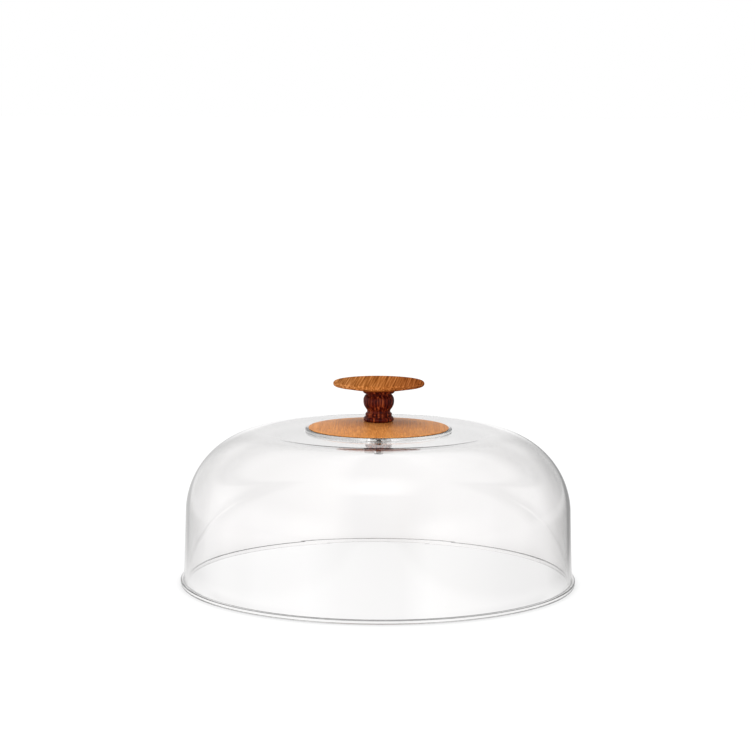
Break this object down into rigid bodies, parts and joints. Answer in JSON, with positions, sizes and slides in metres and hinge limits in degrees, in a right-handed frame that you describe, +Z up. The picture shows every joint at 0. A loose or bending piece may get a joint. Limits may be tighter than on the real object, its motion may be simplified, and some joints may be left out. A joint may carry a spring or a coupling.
{
  "type": "bell jar dome",
  "caption": "Low, wide clear cover dome with a flanged foot, a broad rounded shoulder and a turned wooden pedestal knob clamped through the crown by a screw",
  "frame": {"origin": "centre of the rim's resting plane, so everything is at z of 0 or above", "axes": "+Z is up along the dome's axis of revolution, through the knob and its screw; X and Y are the rim plane's directions, with -Y towards the viewer"},
  "size_m": [0.3, 0.3, 0.1528],
  "materials": {
    "clear_shell": "clear and polished",
    "clear_silicone": "clear and soft, faintly hazy",
    "light_wood": "orange-tan stain, satin",
    "insert_metal": "zinc plated, plain",
    "dark_wood": "dark red-brown stain, satin",
    "dowel_wood": "bare",
    "mid_wood": "mid-brown stain, satin",
    "washer_silicone": "clear and soft",
    "clear_bush": "clear and polished",
    "screw_steel": "blackened"
  },
  "bodies": {
    "dome": {"dome_shell": "clear_shell", "seat_pad": "clear_silicone"},
    "handle": {"seat_plate": "light_wood", "threaded_insert": "insert_metal", "neck_spindle": "dark_wood", "knob_dowel": "dowel_wood", "knob_disc": "mid_wood"},
    "clamp": {"crown_washer": "washer_silicone", "spacer_bush": "clear_bush"},
    "screw": {"clamp_screw": "screw_steel"}
  },
  "joints": [
    {"name": "handle_turn", "type": "hinge", "parent": "dome", "child": "handle", "pos_m": [0, 0, 0], "axis": [0, 0, 1], "continuous": true},
    {"name": "clamp_drop", "type": "slide", "parent": "handle", "child": "clamp", "axis": [0, 0, -1], "range_m": [0, 0.00875]},
    {"name": "screw_turn", "type": "hinge", "parent": "clamp", "child": "screw", "pos_m": [0, 0, 0], "axis": [0, 0, -1], "range_deg": [0, 4500]}
  ],
  "couplings": [
    {"joint": "screw_turn", "follows": "clamp_drop", "rad_per_m": 8976}
  ]
}
